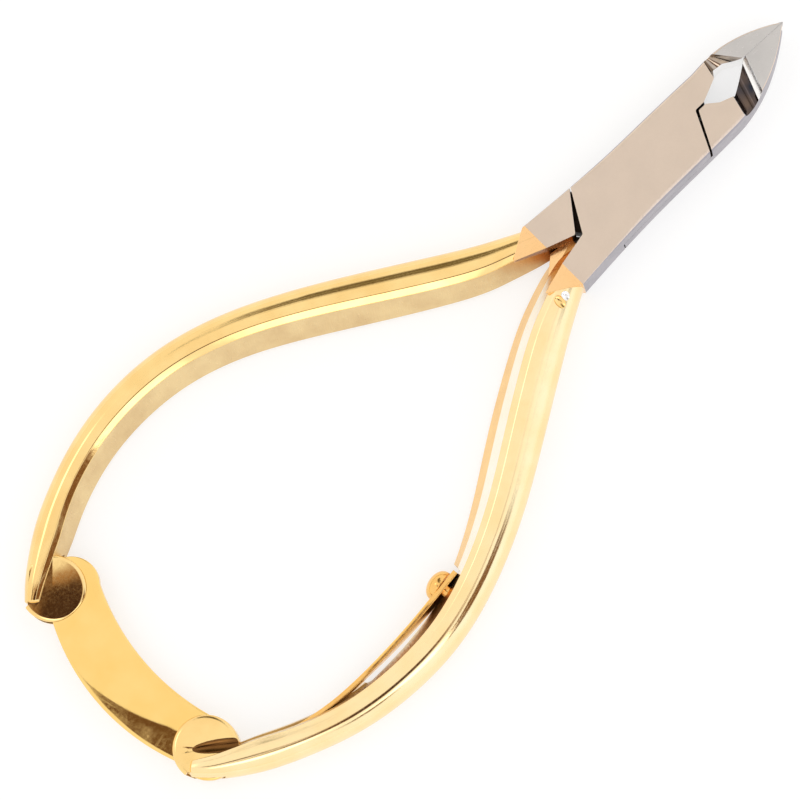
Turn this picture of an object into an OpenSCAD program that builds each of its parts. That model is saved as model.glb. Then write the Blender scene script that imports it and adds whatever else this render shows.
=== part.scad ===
// Cuticle nipper with a lap joint, bowed handles and a lock strap across the handle tails.
// Millimetres. It lies on its back: +X runs from the tails to the jaw tip, +Y is the left handle's
// side and +Z is the front face. All shapes are drawn about the pivot, and place() then moves them
// so that the origin is the middle of the footprint, on the surface that the nipper lies on.

/* [Head] */
// Reach of the jaw tip beyond the pivot
tip_x = 25.1; // [23:0.1:27]
// Thickness of the two lapped halves together
head_t = 5.0; // [4.6:0.1:5.6]
// Half the head's width beside the pivot
head_w = 4.32; // [4.2:0.02:4.4]
// How far the head's middle sits to the left of the pivot
head_y = -0.12; // [-0.2:0.02:0.1]
// How much wider the head is where it meets the handles
shoulder_flare = 0.75; // [0.5:0.05:0.9]
// Clearance between the two lapped faces
lap_gap = 0.04; // [0.02:0.01:0.08]
// Half the gap left between the closed jaws
bite_gap = 0.02; // [0.01:0.01:0.03]

/* [Jaws] */
// Where the opening behind the blades ends and the cutting edges start
blade_x = 18.5; // [17.5:0.1:19]
// How far the closed cutting edges sit to the left of the pivot, because the jaws bend that way
bite_y = 1.16; // [1:0.02:1.3]
// Thickness left at the jaw tip
tip_t = 0.9; // [0.7:0.1:1.4]

/* [Pivot screw] */
// Radius of the screw's shank
screw_r = 1.6; // [1.4:0.05:1.8]
// Radius of the countersunk head
screw_head_r = 2.7; // [2.4:0.1:3]
// Radial running clearance of the half that turns
run_gap = 0.05; // [0.03:0.01:0.08]

/* [Tails] */
// Distance of the round tails behind the pivot
tail_x = 84.9; // [84.7:0.1:85.1]
// Distance of the round tails from the middle line
tail_y = 13.4; // [13.3:0.1:13.6]
// Radius of the round tails
tail_r = 4.0; // [3.9:0.05:4.2]
// Half the thickness of the tails
tail_h = 2.15; // [2:0.05:2.3]
// Height of the tails' ground front faces at their middles
lobe_top = 1.4; // [1.35:0.05:1.6]
// Width of the slot milled into each tail for the strap
slot_t = 1.6; // [1.5:0.1:1.8]

/* [Lock strap] */
// Thickness of the strap plate
strap_t = 1.4; // [1.2:0.1:1.4]
// Radius of the strap's bowed outer edge
strap_outer_r = 28; // [27.8:0.1:28.2]
// Radius of the strap's hollow inner edge
strap_inner_r = 29.7; // [29.2:0.1:30.2]
// Radius of the round heel that turns on the hinge pin
heel_r = 3.8; // [3.7:0.05:3.85]
// Radius of the strap's hinge pin
hinge_pin_r = 0.9; // [0.8:0.05:1.1]
// Radius of the pin that the strap hooks over
catch_pin_r = 0.75; // [0.6:0.05:0.8]
// How far both pins reach in front of the middle plane, short of the tails' front faces
pin_reach = 1.1; // [1:0.05:1.15]

/* [Leaf spring] */
// Thickness of the leaf
leaf_t = 0.65; // [0.5:0.05:0.7]
// Width of the leaf at its rivet
leaf_w = 3.4; // [3:0.1:3.6]
// Width of the leaf's end inside the slot
leaf_tip_w = 1.3; // [1:0.1:1.3]
// Radius of the rivet's domed head
dome_r = 1.95; // [1.6:0.05:2]
// Radius of the rivet's shank
shank_r = 0.8; // [0.6:0.05:0.9]

/* [Hidden] */
$fn = 96;
slop = 0.5;                  // how far a cut runs past the face it opens
half_t = head_t / 2;
lap_z = lap_gap / 2;
gold = [0.93, 0.74, 0.40];
steel = [0.80, 0.76, 0.70];

// Outermost points along X, which the origin is measured from
strap_outer_c = [-62.5, -1.6];
strap_back_x = strap_outer_c[0] - strap_outer_r;
origin_x = (tip_x + strap_back_x) / 2;

// Lock strap: hinge pin in the right tail, catch pin in the left one
hinge = [-84.7, -13.5];
catch = [-85.0, 12.6];
strap_end = [-83.0, 12.3];   // middle of the strap's round free end
strap_end_r = 3.4;
strap_inner_c = [-53.4, -2.2];
strap_reach = 29.5;          // furthest that the strap's free end comes from the hinge pin

// Rivet of the leaf spring, on the inner side of the right handle
rivet = [-51.5, -19.75];
rivet_turn = 12;             // lean of the rivet from +Y towards the tail, in degrees

// Handles, from the head to the tail: the place of the outer edge, the width in plan, how far the
// inner flank slopes in from front to back, half the thickness, how far both handles sit to the left
// there, and how much wider the right one is
handle = [
    [-13.0,  4.2, 4.0, 1.2, 2.50, -0.12, 1.1], [-17.5,  6.6, 5.0, 1.3, 2.50, -0.20, 1.2],
    [-22.0,  9.2, 5.7, 1.4, 2.50, -0.28, 1.05], [-30.0, 14.2, 6.0, 1.6, 2.50, -0.30, 1.0],
    [-38.0, 19.0, 5.9, 1.7, 2.50, -0.30, 0.7], [-46.0, 22.9, 5.6, 1.6, 2.50, -0.15, 0.3],
    [-54.0, 25.4, 5.4, 1.5, 2.50, 0, 0], [-62.0, 26.1, 5.2, 1.4, 2.50, 0.15, 0],
    [-70.0, 25.0, 4.9, 1.3, 2.45, 0.20, 0], [-77.0, 22.6, 4.7, 1.2, 2.35, 0.20, 0],
    [-82.0, 20.1, 4.6, 1.0, 2.25, 0.10, 0], [-85.8, 17.4, 3.7, 0.8, 2.10, 0, 0],
    [-87.5, 15.85, 3.0, 0.6, 2.00, 0, 0], [-88.6, 14.7, 2.3, 0.4, 1.85, 0, 0],
];

// Middle line of the leaf, from its rivet to its end against the strap's heel
leaf = [[-49.2, -19.15], [-55, -19.8], [-61, -20.2], [-67.5, -20.25], [-72, -19.85],
        [-76.5, -18.95], [-80, -18.0], [-82.9, -17.3]];

// A point on the smooth curve through four points, and the whole curve through a list of points
function between(a, b, c, d, t) =
    ((2 * b) + (c - a) * t + (2 * a - 5 * b + 4 * c - d) * t * t + (3 * b - a - 3 * c + d) * t * t * t) / 2;
function smooth(p, n) = [
    for (i = [0 : len(p) - 2], k = [0 : n - 1])
        between(p[max(i - 1, 0)], p[i], p[i + 1], p[min(i + 2, len(p) - 1)], k / n),
    p[len(p) - 1],
];

// Direction of a curve at its point i, in plan
function along(p, i) =
    let (a = p[max(i - 1, 0)], b = p[min(i + 1, len(p) - 1)], d = [b[0] - a[0], b[1] - a[1]]) d / norm(d);

// Half the head's width at x, and half the blades' width from where they start to taper
function side(x) = x < 3 ? head_w + shoulder_flare * pow((x - 3) / 17.3, 2)
                         : head_w - 0.0012 * pow(x - 3, 2);
function blade(x) = side(13) * (1 - pow((x - 13) / (tip_x - 13), 2.1));
function edge(x) = x < 13 ? side(x) : max(blade(x), bite_gap);

// How far the middle of both halves sits to the left at x
function lean(x) = head_y + (bite_y - head_y) * pow(max(x - 12.5, 0) / (tip_x - 12.5), 1.1);
function edges(from, to, n, sign, half) =
    [for (i = [0 : n]) let (x = from + (to - from) * i / n) [x, sign * edge(x) + half * lean(x)]];

// Moves a shape drawn about the pivot into the part's own frame
module place() translate([-origin_x, 0, half_t]) children();

module plate(points, z0, z1) translate([0, 0, z0]) linear_extrude(z1 - z0) polygon(points);

// End of a flat shoulder: an arc from its outer corner to its inner edge, on the right side
shoulder_end = [for (a = [0 : 15 : 90]) [-18.2 + 3.6 * cos(a) - 0.2 * sin(a), -5.0 + 2.25 * (1 - cos(a)) ]];

// Through wall of each half's jaw, where the cutting edge ends. Both halves are drawn with their own
// jaw on the left: half is 1 for the front half, and -1 for the back half, which is turned over.
function jaw_wall(half) = half > 0
    ? [[tip_x, bite_y + bite_gap], [blade_x, bite_y + bite_gap], [16.3, 2.65], [14.9, 2.75]]
    : [[tip_x, bite_gap - bite_y], [blade_x, bite_gap - bite_y], [14.4, 1.5]];

// Layer that holds the lap plate: it runs from the right shoulder across the pivot into the left jaw
function lap_layer(half) = concat(
    edges(-7.2, tip_x, 40, 1, half),
    jaw_wall(half),
    half > 0 ? [[14.2, 1.78], [11.3, 0.55], [9.9, 0.55]] : [[11.3, 0.55], [9.9, 0.55]],
    edges(7.5, -14.6, 16, -1, half),
    shoulder_end,
    half > 0 ? [[-14.4, -1.6], [-11.9, -1.1], [-10.2, -0.75]]
             : [[-14.4, -1.1], [-11.9, -0.8], [-10.4, -0.7]]);

// The two areas on the far side of the lap that belong to the same half: shoulder and jaw
function far_shoulder(half) = concat(
    edges(-7.35, -14.6, 6, -1, half),
    shoulder_end,
    half > 0 ? [[-14.4, 0.75], [-10.9, 0.4]] : [[-14.4, -1.1], [-10.85, 0.17]]);
function far_jaw(half) = concat(
    edges(7.8, tip_x, 28, 1, half),
    jaw_wall(half),
    half > 0 ? [[13, 2.35], [11.6, 1.6], [11.35, -0.25], [10.15, -0.25]]
             : [[12.6, 0.82], [11.3, -0.25], [10.15, -0.25]]);

// Head of one forging, before the jaws are ground: lap plate on the front, shoulder and jaw behind.
// Across the lap's clearance the two layers join only where they cover each other.
module head_blank(half) {
    plate(lap_layer(half), lap_z, half_t);
    for (layer = [far_shoulder(half), far_jaw(half)]) {
        plate(layer, -half_t, -lap_z);
        translate([0, 0, -lap_z]) linear_extrude(2 * lap_z) intersection() {
            polygon(layer);
            polygon(lap_layer(half));
        }
    }
}

// One ring of the handle: a rounded outer side, and a flat flank between two hard inner edges
function ring(s) =
    let (w = s[2], front = s[2] - s[3], h = s[4], a = 0.56 * front, b = 0.5 * w)
    concat(
        [[front, 0.84 * h], [0.8 * front, 0.97 * h]],
        [for (t = [90 : 18 : 180]) [a + a * cos(t), h * sin(t)]],
        [for (t = [198 : 18 : 270]) [b + b * cos(t), h * sin(t)]],
        [[0.82 * w, -0.95 * h], [w, -0.7 * h], [w - 0.3 * s[3], -0.1 * h]]);

// The bowed handle, drawn on the left side and swept along its outer edge: half is 1 for the back
// half's handle, and -1 for the front half's, which is then mirrored to the right
module handle_bar(half) {
    s = smooth([for (q = handle) let (wide = half < 0 ? q[6] : 0)
        [q[0], q[1] + half * q[5], q[2] + wide, q[3] + 0.85 * wide, q[4]]], 3);
    rings = [for (i = [0 : len(s) - 1])
        let (d = along(s, i))
        [for (q = ring(s[i])) [s[i][0] - q[0] * d[1], s[i][1] + q[0] * d[0], q[1]]]];
    m = len(rings[0]);
    n = len(rings);
    points = [for (r = rings) each r];
    sides = [for (i = [0 : n - 2], k = [0 : m - 1])
        let (a = i * m + k, b = i * m + (k + 1) % m) each [[a, b + m, b], [a, a + m, b + m]]];
    head_end = [for (k = [0 : m - 1]) k];
    tail_end = [for (k = [m - 1 : -1 : 0]) (n - 1) * m + k];
    polyhedron(points, concat(sides, [head_end, tail_end]));
}

// Round tail of the left handle, with its front ground to a slope that falls to the inner side
module tail_lobe() {
    difference() {
        translate([-tail_x, tail_y, 0]) rotate_extrude()
            polygon([[0, -tail_h], [tail_r - 0.7, -tail_h], [tail_r, -1.3], [tail_r, 1.5],
                     [tail_r - 0.5, tail_h], [0, tail_h]]);
        translate([-tail_x, tail_y, lobe_top]) rotate([8.5, 0, 0])
            translate([-8, -8, 0]) cube([16, 16, 4]);
        plate([[-79, 19], [-81.8, 19.4], [-85.1, 17.1], [-86.8, 15.6], [-88, 14.5], [-88.4, 14],
               [-91, 14], [-91, 20], [-79, 20]], -0.5, 3);
        plate([[-79, 21.5], [-82, 19.9], [-85.7, 17.2], [-87.4, 15.7], [-88.5, 14.5], [-89, 13.4],
               [-91, 13.4], [-91, 22], [-79, 22]], -3, -0.5);
    }
}

// What is ground off a jaw: the scoop behind the blade, and the slopes down to the tip
module jaw_grinding(scoop_x, scoop_r, turn, taper, side) {
    reach = min(6, (scoop_r - 0.1) / taper);
    translate([scoop_x, bite_y, half_t]) rotate([0, 0, turn]) rotate([-90 * side, 0, 0])
        translate([0, 0, -0.8])
            cylinder(h = 0.8 + reach, r1 = scoop_r + 0.8 * taper, r2 = scoop_r - reach * taper);
    rotate([90, 0, 0]) linear_extrude(20, center = true) {
        polygon([[16, half_t], [tip_x + slop, 1.1], [tip_x + slop, half_t + slop], [16, half_t + slop]]);
        polygon([[13.5, -half_t], [tip_x + slop, 1.1 - tip_t], [tip_x + slop, -half_t - slop],
                 [13.5, -half_t - slop]]);
    }
}

// Slot of the right tail: the strap's heel turns in it and the leaf spring runs along its floor
module right_slot() {
    plate([[-65.5, -19.5], [-66, -21.5], [-72, -21.6], [-76.5, -20.7], [-80, -19.3], [-84.6, -17.45],
           [-92, -17.45], [-92, -5], [-65.5, -5]], -slot_t / 2, slot_t / 2);
}

// Slot of the left tail, round about the hinge pin so that the strap's free end swings into it
module left_slot() {
    intersection() {
        translate([hinge[0], hinge[1], 0]) cylinder(h = slot_t, r = strap_reach, center = true);
        translate([-95, 4, -slot_t]) cube([20, 20, 2 * slot_t]);
    }
}

// Flat milled on the right handle's flank, which the leaf spring is riveted to
module leaf_seat() {
    plate([[-48.6, -19.42], [-54, -20.05], [-60, -20.9], [-66, -21.4], [-66, -15], [-48.6, -15]], -3, 3);
}

module at_rivet()
    translate([rivet[0], rivet[1], 0]) rotate([0, 0, rivet_turn]) rotate([-90, 0, 0]) children();

// A tail's pin, pressed in from the back, and the blind bore that it sits in
module tail_pin(at, r)
    translate([at[0], at[1], 0.1 - tail_h]) cylinder(h = tail_h - 0.1 + pin_reach, r = r);
module pin_bore(at, r)
    translate([at[0], at[1], -half_t]) cylinder(h = half_t + pin_reach, r = r);

// Forging with the right handle, the front lap plate and the left jaw
module front_half() color(gold) place() difference() {
    union() {
        head_blank(1);
        mirror([0, 1, 0]) handle_bar(-1);
        mirror([0, 1, 0]) tail_lobe();
    }
    jaw_grinding(16.03, 2.13, 13.3, 0.49, 1);
    right_slot();
    leaf_seat();
    translate([0, 0, -slop]) cylinder(h = half_t - 0.6 + slop, r = screw_r);
    pin_bore(hinge, hinge_pin_r);
    at_rivet() translate([0, 0, -2.6]) cylinder(h = 4, r = shank_r);
}

// Forging with the left handle, the back lap plate and the right jaw
module back_half() color(gold) place() difference() {
    union() {
        rotate([180, 0, 0]) head_blank(-1);
        handle_bar(1);
        tail_lobe();
    }
    jaw_grinding(16.72, 1.7, -17.7, 0.067, -1);
    left_slot();
    translate([0, 0, -half_t - slop]) cylinder(h = half_t + 2 * slop, r = screw_r + run_gap);
    translate([0, 0, -half_t - 0.01])
        cylinder(h = 1.21, r1 = screw_head_r + run_gap, r2 = screw_r + run_gap);
    pin_bore(catch, catch_pin_r);
}

// Countersunk screw that the halves turn on: threaded into the front plate, slotted at the back
module pivot_screw() color(steel) place() difference() {
    union() {
        translate([0, 0, -half_t + 0.05]) cylinder(h = head_t - 0.65, r = screw_r);
        translate([0, 0, -half_t + 0.05]) cylinder(h = 1.1, r1 = screw_head_r - 0.05, r2 = screw_r);
    }
    translate([-slop - screw_head_r, -0.35, -half_t - slop])
        cube([2 * (screw_head_r + slop), 0.7, slop + 0.75]);
}

// Crescent plate that joins the tails: it turns on the hinge pin and hooks over the catch pin
module lock_strap() color(gold) place()
    translate([0, 0, -strap_t / 2]) linear_extrude(strap_t) difference() {
        union() {
            difference() {
                intersection() {
                    translate(strap_outer_c) circle(strap_outer_r, $fn = 240);
                    translate([-95, hinge[1]]) square([20, strap_end[1] - hinge[1]]);
                }
                translate(strap_inner_c) circle(strap_inner_r, $fn = 240);
            }
            translate(hinge) circle(heel_r);
            translate(strap_end) circle(strap_end_r);
        }
        translate(hinge) circle(hinge_pin_r + run_gap);
        translate(catch) circle(catch_pin_r + 0.1);
        translate(catch - [5, catch_pin_r + 0.1]) square([5, 2 * (catch_pin_r + 0.1)]);
    }

// Pin in the right tail, which the strap turns on
module strap_hinge_pin() color(gold) place() tail_pin(hinge, hinge_pin_r);

// Pin in the left tail, which the strap's notch hooks over
module catch_pin() color(gold) place() tail_pin(catch, catch_pin_r);

// Leaf that presses on the strap's heel and holds the strap open or shut
module leaf_spring() color(gold) place() {
    p = smooth(leaf, 3);
    strip = function (s) [for (i = [0 : len(p) - 1])
        let (d = along(p, i)) [p[i][0] - s * d[1] * leaf_t / 2, p[i][1] + s * d[0] * leaf_t / 2]];
    back = strip(-1);
    difference() {
        intersection() {
            plate(concat(strip(1), [for (i = [len(p) - 1 : -1 : 0]) back[i]]), -leaf_w / 2, leaf_w / 2);
            rotate([90, 0, 0]) linear_extrude(60, center = true)
                polygon([[-48, leaf_w / 2], [-54, leaf_w / 2], [-65, leaf_tip_w / 2], [-84, leaf_tip_w / 2],
                         [-84, -leaf_tip_w / 2], [-65, -leaf_tip_w / 2], [-54, -leaf_w / 2],
                         [-48, -leaf_w / 2]]);
        }
        at_rivet() cylinder(h = 6, r = shank_r, center = true);
    }
}

// Domed rivet through the leaf into the right handle
module spring_rivet() color(gold) place() at_rivet() {
    translate([0, 0, -2.6]) cylinder(h = 3.4, r = shank_r);
    translate([0, 0, 0.68]) rotate_extrude()
        polygon(concat([[0, 0]], [for (a = [0 : 9 : 90]) [dome_r * cos(a), 0.25 + 1.45 * sin(a)]]));
}

front_half();
back_half();
pivot_screw();
lock_strap();
strap_hinge_pin();
catch_pin();
leaf_spring();
spring_rivet();
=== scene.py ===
"""Looks of the cuticle nipper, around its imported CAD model.

Shapes are drawn in millimetres about the pivot, as in the CAD source: +X to the jaw tip, +Y to the
left handle, +Z out of the front face. settle() then moves each piece into the row frame, in metres.
"""
import math

import bmesh
import bpy
import numpy as np
from mathutils import Matrix, Vector


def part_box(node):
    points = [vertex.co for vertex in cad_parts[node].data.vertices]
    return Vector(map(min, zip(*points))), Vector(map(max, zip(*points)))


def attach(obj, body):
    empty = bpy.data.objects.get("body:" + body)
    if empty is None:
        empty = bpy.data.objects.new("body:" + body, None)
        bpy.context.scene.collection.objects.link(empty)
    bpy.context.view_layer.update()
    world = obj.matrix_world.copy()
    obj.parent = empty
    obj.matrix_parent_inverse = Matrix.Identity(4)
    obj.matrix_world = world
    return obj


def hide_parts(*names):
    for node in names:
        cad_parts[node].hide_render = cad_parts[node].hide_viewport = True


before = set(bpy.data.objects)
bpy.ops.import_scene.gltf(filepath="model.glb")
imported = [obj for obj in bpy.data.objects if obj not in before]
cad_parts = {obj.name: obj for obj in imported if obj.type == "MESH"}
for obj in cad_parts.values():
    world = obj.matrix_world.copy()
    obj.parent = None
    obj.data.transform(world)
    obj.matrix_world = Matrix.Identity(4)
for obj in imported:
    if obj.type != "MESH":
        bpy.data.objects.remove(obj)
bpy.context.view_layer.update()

# Sizes that the CAD source sets
MM = 0.001
HALF_T = 2.5          # half the thickness of the head
LAP_Z = 0.02          # half the clearance of the lap
BITE_GAP = 0.006      # half the gap between the closed cutting edges
TIP_X = 25.1          # reach of the jaw tip
HEAD_W = 4.32         # half the head's width beside the pivot
HEAD_Y = -0.12        # how far the head's middle sits off the pivot
BITE_X = 18.5         # where the cutting edges start
BITE_Y = 1.16         # how far the cutting edges sit towards the left handle
PLATE_X = -14.4       # where the gold plating begins
FORK_X = -11.3        # where it begins between the shoulders
SCREW_R = 1.6
SCREW_HEAD_R = 2.7
TAIL = (-84.9, 13.4)  # middle of the left tail
TAIL_R = 4.0
TAIL_H = 2.15
SLOT_H = 0.8          # half the height of the slots in the tails
HINGE = (-84.7, -13.5)
HINGE_PIN_R = 0.9
CATCH = (-85.0, 12.6)
CATCH_PIN_R = 0.75
STRAP_T = 1.4
STRAP_END = (-83.0, 12.3)
STRAP_END_R = 3.4
STRAP_HEEL_R = 3.8
STRAP_HINGE_R = 0.95  # bore for the hinge pin
STRAP_NOTCH_R = 0.85  # half the width of the notch for the catch pin
STRAP_REACH = 29.5    # room that the strap's free end sweeps about its hinge
STRAP_ORIGIN = (-60.0, -2.4)
STRAP_INNER = ((-53.4, -2.2), 29.7)   # middle and radius of the arc along its inner edge
STRAP_OUTER = ((-62.5, -1.6), 28.0)   # the same for its outer edge
RIVET = (-51.5, -19.75)
RIVET_TURN = math.radians(12)
AT_RIVET = (Matrix.Translation((*RIVET, 0)) @ Matrix.Rotation(RIVET_TURN, 4, "Z")
            @ Matrix.Rotation(math.radians(-90), 4, "X"))
FLIP = Matrix.Scale(-1, 4, (0, 1, 0))
LOBE_TOP = 1.4        # height of a tail's ground front face at its middle
LOBE_FALL = {1: 0.15, -1: 0.02}       # how steeply that face falls inwards, left and right
PIN_REACH = 1.1       # how far the tails' pins reach in front of the middle plane
STRAP_FALL = 0.12     # slope of the strap's front along its outer edge
STRAP_FALL_WIDTH = 3.4
FRONT_GRIND_X = 16    # where the slopes to the jaw tip start
BACK_GRIND_X = 13.5
SIDE_ROUND = 0.55     # largest radius on the head's long edges

# Where the painted shade on the fork's floor starts, and the slope of the line along it
TONGUE_X = -11.9
TONGUE_SLOPE = 0.29
# Where a handle's painted shade towards the fork starts, and the length over which it comes in
SHADE_X = -20
SHADE_RUN = 6.5

# Camera: direction to it, its distance in metres and the width that it sees there, the point in plan
# that it looks at, and the direction that is up in the picture
VIEW = (-0.05, -0.2, 0.978)
VIEW_DISTANCE = 0.6
VIEW_WIDTH = 0.0956
VIEW_AIM = (-39.5, 0.72)
VIEW_UP = (0.689, 0.718, 0.0)
SENSOR = 36.0

# Handles from the head to the tail: outer edge x and y, width, slope of the inner flank, half depth,
# how far both handles sit towards the left there, and how much wider the right one is
HANDLE = [
    (-10.8, 3.0, 2.6, 0.9, 2.49, -0.12, 0.8), (-13.0, 4.2, 4.0, 1.2, 2.49, -0.12, 1.1),
    (-17.5, 6.6, 5.0, 1.3, 2.49, -0.2, 1.2), (-22.0, 9.2, 5.7, 1.4, 2.49, -0.28, 1.05),
    (-30.0, 14.2, 6.0, 1.6, 2.49, -0.3, 1.0), (-38.0, 19.0, 5.9, 1.7, 2.49, -0.3, 0.7),
    (-46.0, 22.9, 5.6, 1.6, 2.49, -0.15, 0.3), (-54.0, 25.4, 5.4, 1.5, 2.49, 0.0, 0.0),
    (-62.0, 26.06, 5.2, 1.4, 2.49, 0.15, 0.0), (-70.0, 25.0, 4.9, 1.3, 2.44, 0.2, 0.0),
    (-77.0, 22.6, 4.7, 1.2, 2.35, 0.2, 0.0), (-82.0, 20.1, 4.6, 1.0, 2.25, 0.1, 0.0),
    (-85.8, 17.4, 3.7, 0.8, 2.1, 0.0, 0.0), (-87.5, 15.85, 3.0, 0.6, 2.0, 0.0, 0.0),
    (-88.5, 14.8, 2.4, 0.4, 1.85, 0.0, 0.0),
]
# Middle line of the leaf spring in plan, from its riveted end to its end in the tail, and half its gauge
LEAF = [(-49.2, -19.15), (-55, -19.8), (-61, -20.2), (-67.5, -20.25), (-72, -19.85), (-76.5, -18.95),
        (-80, -18.0), (-82.9, -17.3)]
LEAF_HALF_T = 0.325

low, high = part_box("pivot_screw")
PIVOT = Vector(((low.x + high.x) / 2, (low.y + high.y) / 2, HALF_T * MM))


# ---------------------------------------------------------------- curves and meshes

def spline(points, n):
    """Smooth curve through the points, n steps to each span, with continuous curvature."""
    p = np.array(points, float)
    m = len(p)
    a = np.eye(m) * 4
    a[0, 0] = a[-1, -1] = 2
    r = np.zeros_like(p)
    for i in range(m - 1):
        a[i, i + 1] = a[i + 1, i] = 1
    r[1:-1] = 3 * (p[2:] - p[:-2])
    r[0] = 3 * (p[1] - p[0])
    r[-1] = 3 * (p[-1] - p[-2])
    d = np.linalg.solve(a, r)
    out = []
    for i in range(m - 1):
        for t in np.arange(n) / n:
            c = 3 * (p[i + 1] - p[i]) - 2 * d[i] - d[i + 1]
            e = 2 * (p[i] - p[i + 1]) + d[i] + d[i + 1]
            out.append(p[i] + d[i] * t + c * t * t + e * t ** 3)
    out.append(p[-1])
    return np.array(out)


def directions(p):
    """Unit direction in plan at each point of a curve."""
    d = np.gradient(p[:, :2], axis=0)
    return d / np.linalg.norm(d, axis=1)[:, None]


def rounded(outline, radius, n=4):
    """A closed plan outline with its corners rounded off; radius is one size or one for each corner."""
    pts = [Vector(q) for q in outline]
    sizes = radius if hasattr(radius, "__len__") else [radius] * len(pts)
    out = []
    for i, q in enumerate(pts):
        a = pts[i - 1] - q
        b = pts[(i + 1) % len(pts)] - q
        bend = a.normalized().angle(-b.normalized(), 0.0)
        cut = min(sizes[i] * math.tan(bend / 2), 0.45 * a.length, 0.45 * b.length)
        if bend < math.radians(12) or cut < 1e-3:
            out.append(q)
            continue
        s = q + a.normalized() * cut
        e = q + b.normalized() * cut
        for k in range(n + 1):
            t = k / n
            out.append(s * (1 - t) ** 2 + q * 2 * t * (1 - t) + e * t * t)
    return [tuple(q) for q in out]


def new_mesh(name, verts, faces, material, uvs=None, indices=None):
    """A mesh object from points and faces, with outward normals."""
    mesh = bpy.data.meshes.new(name)
    mesh.from_pydata([tuple(v) for v in verts], [], faces)
    layer = mesh.uv_layers.new(name="UVMap")
    if uvs:
        for loop, uv in zip(layer.data, uvs):
            loop.uv = uv
    for m in material if isinstance(material, list) else [material]:
        mesh.materials.append(m)
    if indices:
        mesh.polygons.foreach_set("material_index", indices)
    obj = bpy.data.objects.new(name, mesh)
    bpy.context.scene.collection.objects.link(obj)
    b = bmesh.new()
    b.from_mesh(mesh)
    bmesh.ops.recalc_face_normals(b, faces=b.faces)
    b.to_mesh(mesh)
    b.free()
    return obj


def plate(name, outline, z0, z1, material):
    """A flat plate: a plan outline from z0 up to z1."""
    n = len(outline)
    verts = [(x, y, z) for z in (z0, z1) for x, y in outline]
    faces = [tuple(range(n))[::-1], tuple(range(n, 2 * n))]
    faces += [(i, (i + 1) % n, n + (i + 1) % n, n + i) for i in range(n)]
    return new_mesh(name, verts, faces, material)


def loft(name, rings, material, pick=None, closed=True):
    """Skin over closed rings of points. UVs are millimetres along and around; pick(i, k) gives
    the material number of the face that starts at ring i's point k."""
    m = len(rings[0])
    verts = [q for r in rings for q in r]
    mid = np.array([np.mean(np.array(r, float), axis=0) for r in rings])
    along = np.concatenate([[0], np.cumsum(np.linalg.norm(np.diff(mid, axis=0), axis=1))])
    first = np.array(rings[len(rings) // 2], float)
    step = np.linalg.norm(np.roll(first, -1, axis=0) - first, axis=1)
    around = np.concatenate([[0], np.cumsum(step)])
    faces, uvs, indices = [], [], []
    for i in range(len(rings) - 1):
        for k in range(m):
            j = (k + 1) % m
            faces.append((i * m + k, i * m + j, (i + 1) * m + j, (i + 1) * m + k))
            uvs += [(along[i], around[k]), (along[i], around[k + 1]),
                    (along[i + 1], around[k + 1]), (along[i + 1], around[k])]
            indices.append(pick(i, k) if pick else 0)
    if closed:
        for ring in (tuple(range(m))[::-1], tuple(range((len(rings) - 1) * m, len(rings) * m))):
            faces.append(ring)
            uvs += [(0, 0)] * m
            indices.append(0)
    return new_mesh(name, verts, faces, material, uvs, indices)


def lathe(name, profile, material, n=64):
    """A solid turned about Z from a profile of (radius, height) that starts and ends on the axis."""
    rings = [[(r * math.cos(a), r * math.sin(a), z) for a in np.arange(n) * 2 * math.pi / n]
             for r, z in profile[1:-1]]
    verts = [(0, 0, profile[0][1])] + [q for r in rings for q in r] + [(0, 0, profile[-1][1])]
    faces = [(0, 1 + (k + 1) % n, 1 + k) for k in range(n)]
    for i in range(len(rings) - 1):
        for k in range(n):
            j = (k + 1) % n
            faces.append((1 + i * n + k, 1 + i * n + j, 1 + (i + 1) * n + j, 1 + (i + 1) * n + k))
    last = 1 + (len(rings) - 1) * n
    faces += [(last + k, last + (k + 1) % n, len(verts) - 1) for k in range(n)]
    return new_mesh(name, verts, faces, material)


def block(name, size, matrix, material):
    """A box of half sizes, placed by a matrix: only used to cut with."""
    corners = [(sx, sy, sz) for sx in (-1, 1) for sy in (-1, 1) for sz in (-1, 1)]
    verts = [matrix @ Vector([s * c for s, c in zip(size, q)]) for q in corners]
    faces = [(0, 1, 3, 2), (4, 6, 7, 5), (0, 4, 5, 1), (2, 3, 7, 6), (0, 2, 6, 4), (1, 5, 7, 3)]
    return new_mesh(name, verts, faces, material)


def apply_modifiers(obj):
    """Bakes an object's modifiers into its mesh."""
    deps = bpy.context.evaluated_depsgraph_get()
    deps.update()
    mesh = bpy.data.meshes.new_from_object(obj.evaluated_get(deps))
    obj.modifiers.clear()
    obj.data = mesh
    return obj


def clean(obj, gap=0.002):
    """Merges points that a boolean left on top of each other."""
    b = bmesh.new()
    b.from_mesh(obj.data)
    bmesh.ops.remove_doubles(b, verts=b.verts, dist=gap)
    bmesh.ops.dissolve_degenerate(b, dist=gap, edges=b.edges)
    b.to_mesh(obj.data)
    b.free()
    return obj


def combine(obj, other, operation):
    """Boolean of two meshes; the other one is used up, and points left on top of each other merge."""
    m = obj.modifiers.new("join", "BOOLEAN")
    m.operation = operation
    m.solver = "EXACT"
    m.object = other
    m.material_mode = "TRANSFER"
    apply_modifiers(obj)
    bpy.data.objects.remove(other)
    return clean(obj)


def transform(obj, matrix):
    """Moves an object's mesh by a matrix, and keeps its normals outward in a mirror."""
    obj.data.transform(matrix)
    if matrix.determinant() < 0:
        obj.data.flip_normals()
    return obj


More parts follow.
